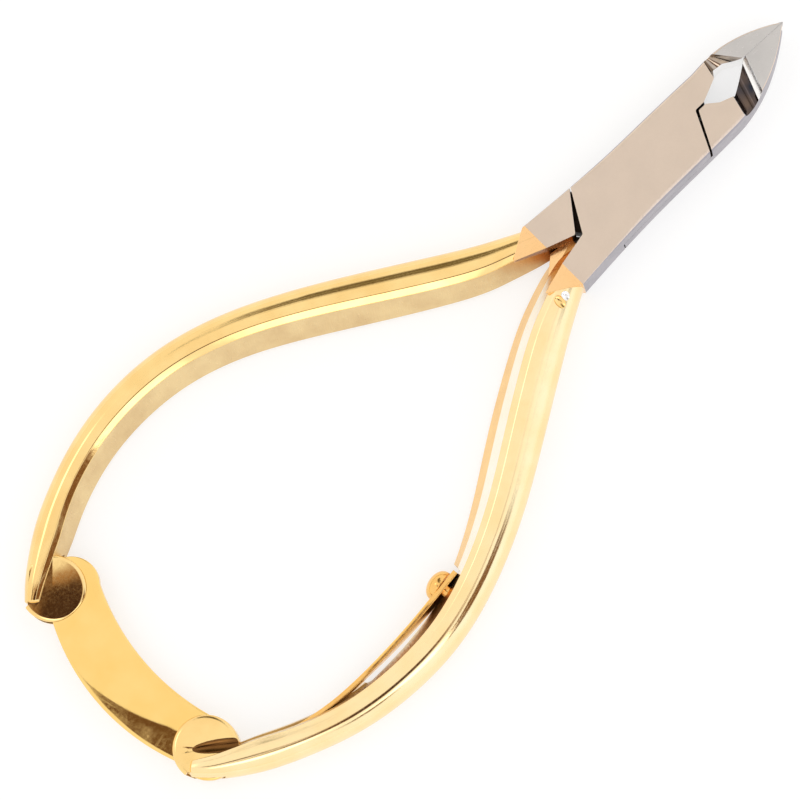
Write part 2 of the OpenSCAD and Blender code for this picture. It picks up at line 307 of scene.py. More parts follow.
def settle(obj, body, nodes, angle=32):
    """Moves a finished piece into the row frame and hangs it on its CAD body."""
    transform(obj, Matrix.Translation(PIVOT) @ Matrix.Scale(MM, 4))
    for p in obj.data.polygons:
        p.use_smooth = True
    obj.data.set_sharp_from_angle(angle=math.radians(angle))
    m = obj.modifiers.new("normals", "WEIGHTED_NORMAL")
    m.keep_sharp = True
    m.weight = 70
    apply_modifiers(obj)
    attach(obj, body)
    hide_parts(*nodes)
    return obj


# ---------------------------------------------------------------- materials

class Nodes:
    """Short ways to add and link shader nodes."""

    def __init__(self, tree):
        self.tree = tree

    def add(self, kind, inputs=None, **settings):
        node = self.tree.nodes.new("ShaderNode" + kind)
        for name, value in settings.items():
            setattr(node, name, value)
        for name, value in (inputs or {}).items():
            if isinstance(value, bpy.types.NodeSocket):
                self.tree.links.new(value, node.inputs[name])
            else:
                node.inputs[name].default_value = value
        return node

    def noise(self, vector, scale, detail=2.0, roughness=0.5):
        values = {"Vector": vector, "Scale": scale, "Detail": detail, "Roughness": roughness}
        return self.add("TexNoise", values).outputs["Fac"]

    def stretched(self, vector, scale):
        return self.add("Mapping", {"Vector": vector, "Scale": scale}).outputs["Vector"]

    def to_range(self, value, low, high, start=0.0, end=1.0):
        values = {"Value": value, "From Min": start, "From Max": end, "To Min": low, "To Max": high}
        return self.add("MapRange", values).outputs["Result"]

    def bump(self, height, strength, distance, normal=None):
        values = {"Height": height, "Strength": strength, "Distance": distance}
        if normal is not None:
            values["Normal"] = normal
        return self.add("Bump", values).outputs["Normal"]

    def mix(self, factor, a, b):
        node = self.add("Mix", {"Factor": factor}, data_type="RGBA")
        for socket, value in ((node.inputs[6], a), (node.inputs[7], b)):
            if isinstance(value, bpy.types.NodeSocket):
                self.tree.links.new(value, socket)
            else:
                socket.default_value = value
        return node.outputs[2]


def new_material(name):
    """A material, the short ways to its nodes, and its shader."""
    material = bpy.data.materials.new(name)
    material.use_nodes = True
    return material, Nodes(material.node_tree), material.node_tree.nodes["Principled BSDF"]


def metal(name, color, stain_and_painted_light, roughness, spread, wave=0.0, fine=0.0, edge=0.06, shade=None, **brush):
    """Metal with cloudy colour, uneven gloss, fine wear and softly rounded edges. The cloud's second
    colour is a stain on most metals, and painted shade and painted reflection on the dark ones.

    wave is the height of the slow ripples that hand polishing leaves, fine that of the micro
    scratches, and brush gives the scale and height of grinding marks, drawn on the UVs. shade is a
    painted shade: the colour that the metal darkens to towards the fork between the handles."""
    material, n, shader = new_material(name)
    place = n.add("TexCoord").outputs["Object"]
    cloud = n.noise(place, 260.0, 3.0)
    speck = n.noise(place, 2600.0, 2.0)
    # the cloud mixes in the second colour: a stain, or on the dark metals painted shade and reflection
    tint = n.mix(n.to_range(cloud, 0.0, 1.0, 0.35, 0.7), (*color, 1), (*stain_and_painted_light, 1))
    # painted shade: towards the fork the colour fades into the shade colour
    if shade:
        forward = n.add("SeparateXYZ", {"Vector": place}).outputs["X"]
        start = PIVOT.x + SHADE_X * MM
        near = n.to_range(forward, 0.0, 1.0, start, start + SHADE_RUN * MM)
        tint = n.mix(near, tint, (*shade, 1))
    normal = n.add("Bevel", {"Radius": edge * MM}, samples=6).outputs["Normal"]
    if wave:
        normal = n.bump(n.noise(place, 150.0, 2.0), 1.0, wave * MM, normal)
    if fine:
        streak = n.noise(n.stretched(place, (900.0, 2600.0, 2600.0)), 1.0, 2.0)
        normal = n.bump(streak, 1.0, fine * MM, normal)
    gloss = n.to_range(speck, roughness - spread, roughness + spread, 0.3, 0.7)
    if brush:
        uv = n.add("TexCoord").outputs["UV"]
        marks = n.noise(n.stretched(uv, brush["scale"]), 1.0, 3.0, 0.6)
        normal = n.bump(marks, 1.0, brush["depth"] * MM, normal)
        gloss = n.add("Math", {0: gloss, 1: n.to_range(marks, -0.06, 0.08, 0.35, 0.65)},
                      operation="ADD").outputs[0]
    shader.inputs["Metallic"].default_value = 1.0
    tree = material.node_tree
    tree.links.new(tint, shader.inputs["Base Color"])
    tree.links.new(gloss, shader.inputs["Roughness"])
    tree.links.new(normal, shader.inputs["Normal"])
    return material


gold = metal("polished_gold", (0.98, 0.71, 0.31), (0.92, 0.63, 0.25), 0.09, 0.03, wave=0.05, fine=0.0004)
# Paler copy of the gold for the right handle: painted light, standing in for the brighter light on it
pale_gold_painted_light = metal("pale_gold_painted_light", (1.0, 0.80, 0.46), (0.98, 0.75, 0.39), 0.11, 0.03, wave=0.02, fine=0.0004)
# Near-white gold: a painted highlight on a strip of the right handle's flank near the head
flank_painted_highlight = metal("gold_flank_painted_highlight", (1.0, 0.93, 0.80), (1.0, 0.90, 0.72), 0.20, 0.04, fine=0.0004)
orange_gold = metal("orange_gold_flank", (0.98, 0.66, 0.30), (0.90, 0.58, 0.26), 0.18, 0.04, fine=0.0004)
shoulder_gold = metal("shoulder_gold", (0.98, 0.63, 0.31), (0.96, 0.60, 0.28), 0.16, 0.04, wave=0.01)
# Dark brown gold: painted shade, over the plating, on the fork's walls and on part of its floor
fork_gold_painted_shade = metal("fork_gold_painted_shade", (0.62, 0.30, 0.09), (0.30, 0.12, 0.03), 0.25, 0.05, fine=0.0006)
# the ground flank darkens to painted shade towards the fork
ground_gold = metal("ground_gold_flank", (0.84, 0.64, 0.34), (0.72, 0.52, 0.27), 0.34, 0.05,
                    shade=(0.50, 0.22, 0.06), scale=(6.0, 0.5, 1.0), depth=0.02)
# Dark brown gold: painted dark reflection in the oval hollow on the right tail
hollow_gold_painted_reflection = metal("hollow_gold_painted_reflection", (0.20, 0.09, 0.025), (0.12, 0.05, 0.015), 0.16, 0.04, fine=0.0004)
# Darker gold: painted shade inside the slots, bores, notch and the leaf's seat
slot_gold_painted_shade = metal("slot_gold_painted_shade", (0.60, 0.36, 0.12), (0.40, 0.22, 0.07), 0.32, 0.06, fine=0.001)
strap_gold = metal("mirror_gold_strap", (0.98, 0.68, 0.25), (0.95, 0.64, 0.21), 0.06, 0.03,
                   wave=0.012, fine=0.0004)
leaf_gold = metal("leaf_gold", (0.97, 0.60, 0.20), (0.86, 0.48, 0.14), 0.16, 0.05, fine=0.001)
satin = metal("satin_steel", (0.78, 0.655, 0.55), (0.75, 0.63, 0.53), 0.42, 0.05, fine=0.0008)
# Darker steel: painted shade on the head's sides, for the shaded floor that they reflect
side_steel_painted_shade = metal("side_steel_painted_shade", (0.42, 0.39, 0.42), (0.36, 0.34, 0.37), 0.34, 0.05, fine=0.0008)
# Near-black steel: painted shade in the lap between the halves, on rough metal
lap_steel_painted_shade = metal("lap_steel_painted_shade", (0.05, 0.035, 0.028), (0.02, 0.015, 0.012), 0.5, 0.08, fine=0.001)
blade = metal("blade_steel", (0.66, 0.635, 0.62), (0.60, 0.58, 0.57), 0.30, 0.03, wave=0.006)
# The scoops' colours are painted reflections: tan clouded with dark navy, and dark navy clouded with
# brown
scoop = metal("polished_scoop_painted_reflection", (0.50, 0.40, 0.31), (0.015, 0.02, 0.035), 0.12, 0.03, wave=0.015)
dark_scoop_painted_reflection = metal("dark_scoop_painted_reflection", (0.03, 0.035, 0.05), (0.16, 0.11, 0.08), 0.12, 0.03, wave=0.015)
# Near-white steel: painted reflection on the walls inside the jaws
wall_steel_painted_reflection = metal("wall_steel_painted_reflection", (0.97, 0.96, 0.95), (0.90, 0.90, 0.90), 0.10, 0.03, wave=0.004)
# Near-white steel: painted highlight on the right jaw's rim and in a dimple on the right shoulder
rim_steel_painted_highlight = metal("rim_steel_painted_highlight", (0.98, 0.98, 1.0), (0.92, 0.93, 0.96), 0.25, 0.03, wave=0.004)
turned = metal("turned_steel", (0.66, 0.62, 0.57), (0.52, 0.48, 0.44), 0.30, 0.06, fine=0.001)


# ---------------------------------------------------------------- head of a forging

def side(x):
    """Half the head's width at x."""
    if x < 3:
        return HEAD_W + 0.75 * ((x - 3) / 17.3) ** 2
    return HEAD_W - 0.0012 * (x - 3) ** 2


def edge(x):
    """Half the head's width at x, with the blades' taper."""
    if x < 13:
        return side(x)
    return max(side(13) * (1 - ((x - 13) / (TIP_X - 13)) ** 2.1), BITE_GAP)


def lean(x):
    """How far the middle of both halves sits towards the left handle: the jaws bend that way."""
    return HEAD_Y + (BITE_Y - HEAD_Y) * (max(x - 12.5, 0) / (TIP_X - 12.5)) ** 1.1


def edges(start, end, sign, half):
    """Points along the head's side. Every layer takes them from the same stations, so that the
    layers' walls are flush."""
    turns = {-14.6, -7.35, -7.2, 7.5, 7.8, TIP_X}
    stations = sorted(turns | set(np.round(np.arange(-14.5, TIP_X, 0.35), 3)))
    low, high = min(start, end), max(start, end)
    inside = [x for x in stations if low <= x <= high]
    return [(x, sign * edge(x) + half * lean(x)) for x in (inside if end > start else inside[::-1])]


def shoulder_end():
    """End of a flat shoulder: an arc from its outer corner to its inner edge, on the right side."""
    return [(-18.2 + 3.6 * math.cos(a) - 0.2 * math.sin(a), -5.0 + 2.25 * (1 - math.cos(a)))
            for a in np.radians(np.linspace(0, 90, 13))]


# Inner outlines of the two halves, each drawn with its own jaw on +Y: the jaw's through wall, then
# what follows it on the lap plate and on the far layer, and the fork between the shoulders
INNER = {
    1: {"jaw": [(BITE_X, BITE_Y + BITE_GAP), (16.3, 2.65), (14.9, 2.75)],
        "lap": [(14.2, 1.78), (11.3, 0.55), (9.9, 0.55)],
        "far": [(13.0, 2.35), (11.6, 1.6), (11.35, -0.25), (10.15, -0.25)],
        "lap_fork": [(-14.4, -1.6), (-11.9, -1.1), (-10.2, -0.75)],
        "far_fork": [(-14.4, 0.75), (-10.9, 0.4)]},
    -1: {"jaw": [(BITE_X, BITE_GAP - BITE_Y), (14.4, 1.5)],
         "lap": [(11.3, 0.55), (9.9, 0.55)],
         "far": [(12.6, 0.82), (11.3, -0.25), (10.15, -0.25)],
         "lap_fork": [(-14.4, -1.1), (-11.9, -0.8), (-10.4, -0.7)],
         "far_fork": [(-14.4, -1.1), (-10.85, 0.17)]},
}
# Scoops ground behind the blades: place, radius, turn and taper of the wheel
SCOOP = {1: (16.03, 2.13, 13.3, 0.49), -1: (16.72, 1.7, -17.7, 0.067)}


def head(half):
    """Head of one forging: lap plate on the front, shoulder and jaw behind it."""
    inner = INNER[half]
    lap = (edges(-7.2, TIP_X, 1, half) + inner["jaw"] + inner["lap"]
           + edges(7.5, -14.6, -1, half)[:-1] + shoulder_end() + inner["lap_fork"])
    shoulder = edges(-7.35, -14.6, -1, half)[:-1] + shoulder_end() + inner["far_fork"]
    jaw = edges(7.8, TIP_X, 1, half) + inner["jaw"] + inner["far"]
    body = plate("head", rounded(lap, 0.25), LAP_Z, HALF_T, satin)
    for outline in (shoulder, jaw):
        outline = rounded(outline, 0.25)
        web = plate("web", outline, -LAP_Z, LAP_Z, satin)
        combine(web, plate("lap", rounded(lap, 0.25), -1, 1, satin), "INTERSECT")
        combine(body, web, "UNION")
        combine(body, plate("layer", outline, -HALF_T, -LAP_Z, satin), "UNION")
    return body


def grind_jaw(body, half):
    """Cuts the scoop behind the blade and the slopes down to the tip."""
    x, r, turn, taper = SCOOP[half]
    reach = min(6.0, (r - 0.1) / taper)
    profile = [(0, -0.8), (r + 0.8 * taper, -0.8), (r - reach * taper, reach), (0, reach)]
    # the scoops take painted reflections as their colours
    cone = lathe("cone", profile, scoop if half > 0 else dark_scoop_painted_reflection, 96)
    place = (Matrix.Translation((x, BITE_Y, HALF_T)) @ Matrix.Rotation(math.radians(turn), 4, "Z")
             @ Matrix.Rotation(math.radians(-90 * half), 4, "X"))
    combine(body, transform(cone, place), "DIFFERENCE")
    if half < 0:
        # rim cut along the right jaw's scoop, painted near-white as a highlight
        rim = lathe("rim", [(0, -0.6), (r + 0.45, -0.6), (r + 0.1, 6), (0, 6)], rim_steel_painted_highlight, 96)
        combine(body, transform(rim, Matrix.Translation((0.25, 0, 0.75)) @ place), "DIFFERENCE")
    front = [(FRONT_GRIND_X, HALF_T), (25.5, 1.1), (25.5, 3), (FRONT_GRIND_X, 3)]
    back = [(BACK_GRIND_X, -HALF_T), (25.5, 0.2), (25.5, -3), (BACK_GRIND_X, -3)]
    for outline in (front, back):
        wedge = plate("wedge", outline, -10, 10, blade)
        combine(body, transform(wedge, Matrix.Rotation(math.radians(90), 4, "X")), "DIFFERENCE")
    return body


# ---------------------------------------------------------------- handles and tails

def ring(width, slope, h, split):
    """Section of the handle as (inward, z): rounded outer side, flat flank with two hard edges.

    split is where the flank's two strips meet, as a share of its slope. On the right handle near the
    head, the strip from there to the front edge is painted near-white as a highlight."""
    front = width - slope
    a = 0.56 * front
    b = 0.5 * width
    arcs = [(a + a * math.cos(t), h * math.sin(t)) for t in np.radians(np.arange(90, 180, 5))]
    arcs += [(b + b * math.cos(t), h * math.sin(t)) for t in np.radians(np.arange(180, 271, 7.5))]
    corners = [(front, 0.84 * h), (0.8 * front, 0.97 * h)]
    inner = [(0.82 * width, -0.95 * h), (width, -0.7 * h),
             (width - split * slope, (1.54 * split - 0.7) * h)]
    outline = corners + arcs + inner
    size = min(1.0, width / 3)
    radii = [0.14 * size, 0.5 * size] + [0] * len(arcs) + [0.8 * size, 0.25 * size, 3.0 * size]
    return rounded(outline, radii, 5)


def handle(side_sign):
    """The bowed handle, drawn on the left side; side_sign is -1 for the right one."""
    right = side_sign < 0
    s = spline([(x, y + side_sign * sway, w + wide * right, slope + 0.85 * wide * right, h)
                for x, y, w, slope, h, sway, wide in HANDLE], 12)
    d = directions(s)
    rings = []
    for q, t in zip(s, d):
        section = ring(*q[2:], 0.5 if right else 0.35)
        rings.append([(q[0] - w * t[1], q[1] + w * t[0], z) for w, z in section])
    middle = np.mean(np.array(rings[-1]), axis=0)
    last = np.array(rings[-1])
    for size, run in ((0.93, 0.12), (0.78, 0.25), (0.5, 0.36)):
        shift = np.array((d[-1][0] * run, d[-1][1] * run, 0))
        rings.append([tuple(q) for q in middle + size * (last - middle) + shift])
    section = ring(*s[len(s) // 2][2:], 0.35)
    flank_start = len(section) - 1
    while section[flank_start - 1][1] > -0.75 * s[len(s) // 2][4]:
        flank_start -= 1
    count = len(section)

    def pick(i, k):
        if k < flank_start - 1:
            return 0
        # right handle near the head: one flank strip painted as a highlight, orange gold beside it
        if right and i < len(s) and s[i][0] > -50:
            return 2 if k == count - 1 else 3
        return 1

    # the right handle takes the paler, painted-light copy of the gold
    plating = pale_gold_painted_light if right else gold
    return loft("handle", rings, [plating, ground_gold, flank_painted_highlight, orange_gold], pick)


def lobe(side_sign):
    """Round tail, drawn on the left side, with its front face ground to a slope. side_sign is -1 for
    the right one. Two plates then trim it to the handle's outline, so that no ledge is left."""
    profile = [(0, -TAIL_H), (TAIL_R - 0.7, -TAIL_H)]
    profile += [(TAIL_R - 0.7 + 0.7 * math.sin(a), 0.7 - TAIL_H - 0.7 * math.cos(a))
                for a in np.radians(range(15, 91, 15))]
    profile += [(TAIL_R - 0.5 + 0.5 * math.cos(a), TAIL_H - 0.5 + 0.5 * math.sin(a))
                for a in np.radians(range(0, 91, 15))]
    profile += [(0, TAIL_H)]
    body = lathe("lobe", profile, gold, 96)
    for v in body.data.vertices:
        if v.co.z > 0:
            top = LOBE_TOP + LOBE_FALL[side_sign] * v.co.y
            v.co.z *= top / TAIL_H
    transform(body, Matrix.Translation((*TAIL, 0)))
    outer = [(-79, 19), (-81.8, 19.4), (-85.1, 17.1), (-86.8, 15.6), (-88.0, 14.5), (-88.4, 14.0),
             (-91, 14.0), (-91, 20), (-79, 20)]
    combine(body, plate("outline", outer, -0.5, 3, gold), "DIFFERENCE")
    outer = [(-79, 21.5), (-82, 19.9), (-85.7, 17.2), (-87.4, 15.7), (-88.5, 14.5), (-89.0, 13.4),
             (-91, 13.4), (-91, 22), (-79, 22)]
    return combine(body, plate("outline", outer, -3, -0.5, gold), "DIFFERENCE")


def bore(body, at, r, z0, z1, material):
    """A round hole along Z."""
    tool = lathe("bore", [(0, z0), (r, z0), (r, z1), (0, z1)], material, 64)
    return combine(body, transform(tool, Matrix.Translation((*at, 0))), "DIFFERENCE")


def dent(body, at, turn, size, material, n=64):
    """A shallow oval hollow, whose size is its half length, half width and depth."""
    profile = [(math.sin(a), -math.cos(a)) for a in np.radians(range(0, 181, 10))]
    place = Matrix.Translation(at) @ Matrix.Rotation(math.radians(turn), 4, "Z")
    tool = transform(lathe("dent", profile, material, n), place @ Matrix.Diagonal((*size, 1)))
    return combine(body, tool, "DIFFERENCE")


def front_face(x):
    """Height of the head's front face at x."""
    return HALF_T - max(0.0, x - FRONT_GRIND_X) * 1.4 / 9.5


def back_face(x):
    """Height of the head's back face at x."""
    return -HALF_T + max(0.0, x - BACK_GRIND_X) * 2.7 / 12.0


def soften_sides(body):
    """Rounds the head's long outer edges, as a belt sander leaves them: softest beside the pivot."""
    for side_sign in (1, -1):
        for face, z_sign in ((front_face, 1), (back_face, -1)):
            rings = []
            for x in np.arange(-17, TIP_X - 0.4, 0.4):
                r = SIDE_ROUND * min(max((x + 14) / 12, 0.25), 1) * min(max((19 - x) / 5, 0.3), 1)
                y = edge(x) + side_sign * lean(x)
                z = z_sign * face(x)
                arc = [(y - r + r * math.sin(a), z - r + r * math.cos(a))
                       for a in np.radians(np.linspace(-4, 94, 9))]
                corner = arc + [(y + 1, z - r), (y + 1, z + 1), (y - r, z + 1)]
                rings.append([(x, side_sign * v, z_sign * w) for v, w in corner])
            combine(body, loft("router", rings, satin), "DIFFERENCE")
    return body


def paint(body):
    """Gives the head its plating and its painted light: gold behind the line across the shoulders, darker
    steel as painted shade on the sides, near-white painted reflection on the walls inside the jaws, gold
    darkened to painted shade in the fork, and near-black painted shade on rough metal in the lap."""
    b = bmesh.new()
    b.from_mesh(body.data)
    for x in (PLATE_X, FORK_X):
        geometry = b.verts[:] + b.edges[:] + b.faces[:]
        bmesh.ops.bisect_plane(b, geom=geometry, plane_co=(x, 0, 0), plane_no=(1, 0, 0))
    tongue = [f for f in b.faces if abs(f.calc_center_median().z) < 0.1]
    geometry = list({e for f in tongue for e in f.edges})
    geometry += list({v for f in tongue for v in f.verts})
    geometry += tongue
    bmesh.ops.bisect_plane(b, geom=geometry, plane_co=(TONGUE_X, 0, 0), plane_no=(TONGUE_SLOPE, -1, 0))
    b.normal_update()
    materials = body.data.materials
    for m in (shoulder_gold, fork_gold_painted_shade, side_steel_painted_shade, lap_steel_painted_shade, wall_steel_painted_reflection):
        materials.append(m)
    place = {m.name: i for i, m in enumerate(materials)}
    for f in b.faces:
        if f.material_index != place[satin.name]:
            continue
        c = f.calc_center_median()
        wall = abs(f.normal.z) < 0.7
        outside = abs(c.y - lean(c.x)) > 0.8 * edge(min(c.x, 24)) or c.x < -17
        kind = shoulder_gold if c.x < PLATE_X else satin
        # sides of the head: darker steel as painted shade
        if wall and outside and c.x > PLATE_X:
            kind = side_steel_painted_shade
        # walls in the fork: gold plating darkened to painted shade
        elif wall and not outside and c.x < FORK_X:
            kind = fork_gold_painted_shade
        # walls in the lap: near-black painted shade
        elif wall and not outside and c.x < 11.5:
            kind = lap_steel_painted_shade
        # walls inside the jaws: near-white painted reflection
        elif wall and not outside:
            kind = wall_steel_painted_reflection
        # floor of the fork beside the right shoulder: painted shade; floor of the lap: near-black painted
        # shade
        elif abs(c.z) < 0.1 and not wall:
            shaded = c.y < TONGUE_SLOPE * (c.x - TONGUE_X)
            kind = lap_steel_painted_shade if c.x > FORK_X else fork_gold_painted_shade if shaded else shoulder_gold
        f.material_index = place[kind.name]
    b.to_mesh(body.data)
    b.free()
    return body


def join(obj, other):
    """Puts two meshes into one object."""
    base = len(obj.data.materials)
    for m in other.data.materials:
        obj.data.materials.append(m)
    for p in other.data.polygons:
        p.material_index += base
    b = bmesh.new()
    b.from_mesh(obj.data)
    b.from_mesh(other.data)
    b.to_mesh(obj.data)
    b.free()
    bpy.data.objects.remove(other)
    return obj


def tail(side_sign):
    """Handle and round tail, drawn on the left side."""
    return combine(lobe(side_sign), handle(side_sign), "UNION")


def front_forging():
    """Right handle, front lap plate and left jaw. The tail has a slot for the strap's heel and the leaf
    spring, and the handle a seat for the leaf."""
    body = grind_jaw(head(1), 1)
    bore(body, (0, 0), SCREW_R, -3, HALF_T - 0.6, turned)
    soften_sides(body)
    rear = transform(tail(-1), FLIP)
    slot_plan = [(-65.5, -19.5), (-66, -21.5), (-72, -21.6), (-76.5, -20.7), (-80, -19.3),
                 (-84.6, -17.45), (-92, -17.45), (-92, -5), (-65.5, -5)]
    # the slot and the seat take the darker gold as painted shade
    combine(rear, plate("slot", slot_plan, -SLOT_H, SLOT_H, slot_gold_painted_shade), "DIFFERENCE")
    seat = [(-48.6, -19.42), (-54, -20.05), (-60, -20.9), (-66, -21.4), (-66, -15), (-48.6, -15)]
    combine(rear, plate("seat", rounded(seat, 1.0), -3, 3, slot_gold_painted_shade), "DIFFERENCE")
    bore(rear, HINGE, HINGE_PIN_R, -3, PIN_REACH, slot_gold_painted_shade)
    # oval hollow on the right tail, its faces painted dark brown as a reflection
    dent(rear, (-83.5, -14.4, 1.5), -36.5, (3.5, 0.85, 0.38), hollow_gold_painted_reflection)
    # dimple on the right shoulder: its half towards the head painted near-white as a highlight
    for x, width, length, kind in ((-17.8, 0.6, 1.0, gold), (-16.8, 0.55, 0.7, rim_steel_painted_highlight)):
        dent(rear, (x, -4.8, HALF_T), 0, (width, length, 0.35), kind, 48)
    paint(body)
    join(body, rear).name = "front_forging"
    return settle(body, "front", ["front_half"])


def back_forging():
    """Left handle, back lap plate and right jaw. The tail has a slot for the strap's free end."""
    body = grind_jaw(transform(head(-1), Matrix.Rotation(math.pi, 4, "X")), -1)
    bore(body, (0, 0), SCREW_R + 0.05, -3, 1, turned)
    sink = [(0, -3), (SCREW_HEAD_R + 0.35, -3), (SCREW_HEAD_R + 0.05, -HALF_T), (SCREW_R + 0.05, -1.3),
            (0, -1.3)]
    combine(body, lathe("sink", sink, turned, 64), "DIFFERENCE")
    soften_sides(body)
    rear = tail(1)
    sweep = [(0, -SLOT_H), (STRAP_REACH, -SLOT_H), (STRAP_REACH, SLOT_H), (0, SLOT_H)]
    reach = lathe("slot", sweep, slot_gold_painted_shade, 256)
    transform(reach, Matrix.Translation((*HINGE, 0)))
    combine(reach, block("side", (10, 10, 3), Matrix.Translation((-85, 14, 0)), slot_gold_painted_shade), "INTERSECT")
    combine(rear, reach, "DIFFERENCE")
    bore(rear, CATCH, CATCH_PIN_R, -3, PIN_REACH, slot_gold_painted_shade)
    paint(body)
    join(body, rear).name = "back_forging"
    return settle(body, "back", ["back_half"])


# ---------------------------------------------------------------- strap, pins, spring and screw

def cross(origin, angle, centre, r):
    """Distances at which a ray in plan enters and leaves a circle, or None."""
    d = np.array((math.cos(angle), math.sin(angle)))
    f = np.array(origin) - np.array(centre)
    b = f @ d
    q = b * b - f @ f + r * r
    if q < 0:
        return None
    return -b - math.sqrt(q), -b + math.sqrt(q)


def lock_strap():
    """Crescent plate between the tails, swept about a point inside its bow."""
    origin = STRAP_ORIGIN
    ends = [(HINGE, STRAP_HEEL_R), (STRAP_END, STRAP_END_R)]
    spans = []
    for centre, r in ends:
        away = np.array(centre) - np.array(origin)
        middle = math.atan2(away[1], away[0]) % (2 * math.pi)
        spans.append((middle, math.asin(r / np.linalg.norm(away))))
    (heel, heel_half), (tip, tip_half) = spans
    start = tip - tip_half
    stop = heel + heel_half
    steps = np.linspace(0, math.pi, 181)
    angles = start + (stop - start) * (0.5 - 0.5 * np.cos(steps))
    rings = []
    for angle in angles:
        reach = [cross(origin, angle, c, r) for c, r in ends]
        if tip <= angle <= heel:
            inner = cross(origin, angle, *STRAP_INNER)[1]
            outer = cross(origin, angle, *STRAP_OUTER)[1]
            reach.append((inner, outer))
        reach = [q for q in reach if q] or [(0, 0)]
        r0 = min(q[0] for q in reach)
        r1 = max(q[1] for q in reach)
        if r0 == 0:
            continue
        rings.append(strap_ring(origin, angle, r0, r1, (angle - tip) / (heel - tip)))
    strap = loft("lock_strap", rings, strap_gold)
    bore(strap, HINGE, STRAP_HINGE_R, -1, 1, slot_gold_painted_shade)
    bore(strap, CATCH, STRAP_NOTCH_R, -1, 1, slot_gold_painted_shade)
    outward = Matrix.Translation((CATCH[0] - 2.5, CATCH[1], 0))
    notch = block("notch", (2.5, STRAP_NOTCH_R, 1), outward, slot_gold_painted_shade)
    combine(strap, notch, "DIFFERENCE")
    return settle(strap, "strap", ["lock_strap"], 40)


def strap_ring(origin, angle, r0, r1, share):
    """Section of the strap on one ray: rounded edges, and a front that falls off along the outer
    edge towards the heel. share runs from 0 at the free end to 1 at the heel."""
    half = STRAP_T / 2
    e = min(0.18, (r1 - r0) * 0.3)
    turns = np.radians([0, 22.5, 45, 67.5, 90])
    section = [(r0 + e - e * math.cos(a), half - e + e * math.sin(a)) for a in turns]
    section += [(r0 + e + (r1 - r0 - 2 * e) * t, half) for t in np.linspace(0, 1, 25)[1:-1]]
    section += [(r1 - e + e * math.sin(a), half - e + e * math.cos(a)) for a in turns]
    section += [(r, -z) for r, z in section[::-1]]
    width = STRAP_FALL_WIDTH * max(0.0, min(1.0, (share - 0.3) / 0.5))
    out = []
    for r, z in section:
        if z > 0 and width > 0:
            s = max(0.0, r - (r1 - width))
            z -= STRAP_FALL * (s - 0.25 * (1 - math.exp(-s / 0.25)))
        out.append((origin[0] + r * math.cos(angle), origin[1] + r * math.sin(angle), z))
    return out


def pin(name, at, r, body, node):
    """Pin with chamfered ends in a tail."""
    low = 0.1 - TAIL_H
    profile = [(0, low), (r - 0.12, low), (r, low + 0.12), (r, PIN_REACH - 0.1), (r - 0.1, PIN_REACH),
               (0, PIN_REACH)]
    obj = transform(lathe(name, profile, gold, 48), Matrix.Translation((*at, 0)))
    return settle(obj, body, [node])


def leaf_spring():
    """Leaf along the right handle: wide at its rivet, narrow inside the tail's slot."""
    s = spline(LEAF, 10)
    d = directions(s)
    t = LEAF_HALF_T
    rings = []
    for q, along in zip(s, d):
        fade = min(max((-54 - q[0]) / 11, 0), 1)
        h = 1.7 + (0.65 - 1.7) * fade
        outline = rounded([(t, h), (t, -h), (-t, -h), (-t, h)], 0.12, 3)
        rings.append([(q[0] - w * along[1], q[1] + w * along[0], z) for w, z in outline])
    leaf = loft("leaf_spring", rings, leaf_gold)
    hole = lathe("hole", [(0, -3), (0.8, -3), (0.8, 3), (0, 3)], slot_gold_painted_shade, 32)
    combine(leaf, transform(hole, AT_RIVET), "DIFFERENCE")
    return settle(leaf, "front", ["leaf_spring"])


def spring_rivet():
    """Domed rivet through the leaf, its dome a little flattened where it was hammered."""
    dome = [(1.95 * math.cos(a), 0.93 + 1.45 * math.sin(a) ** 0.9) for a in np.radians(range(0, 86, 6))]
    profile = [(0, -2.6), (0.8, -2.6), (0.8, 0.68), (1.87, 0.68), (1.95, 0.76)] + dome + [(0, 2.38)]
    obj = transform(lathe("spring_rivet", profile, leaf_gold, 64), AT_RIVET)
    return settle(obj, "front", ["spring_rivet"])


def pivot_screw():
    """Countersunk slotted screw, whose head shows only at the back."""
    low = 0.05 - HALF_T
    profile = [(0, low), (2.35, low), (2.58, low + 0.05), (2.65, low + 0.12), (SCREW_R, low + 1.1),
               (SCREW_R, 1.8), (1.5, 1.9), (0, 1.9)]
    obj = lathe("pivot_screw", profile, turned, 96)
    combine(obj, block("slot", (4, 0.35, 1), Matrix.Translation((0, 0, low - 0.3)), turned), "DIFFERENCE")
    return settle(obj, "front", ["pivot_screw"])


front_forging()
back_forging()
lock_strap()
pin("strap_hinge_pin", HINGE, HINGE_PIN_R, "front", "strap_hinge_pin")
pin("catch_pin", CATCH, CATCH_PIN_R, "back", "catch_pin")
leaf_spring()
spring_rivet()
pivot_screw()


# ---------------------------------------------------------------- studio

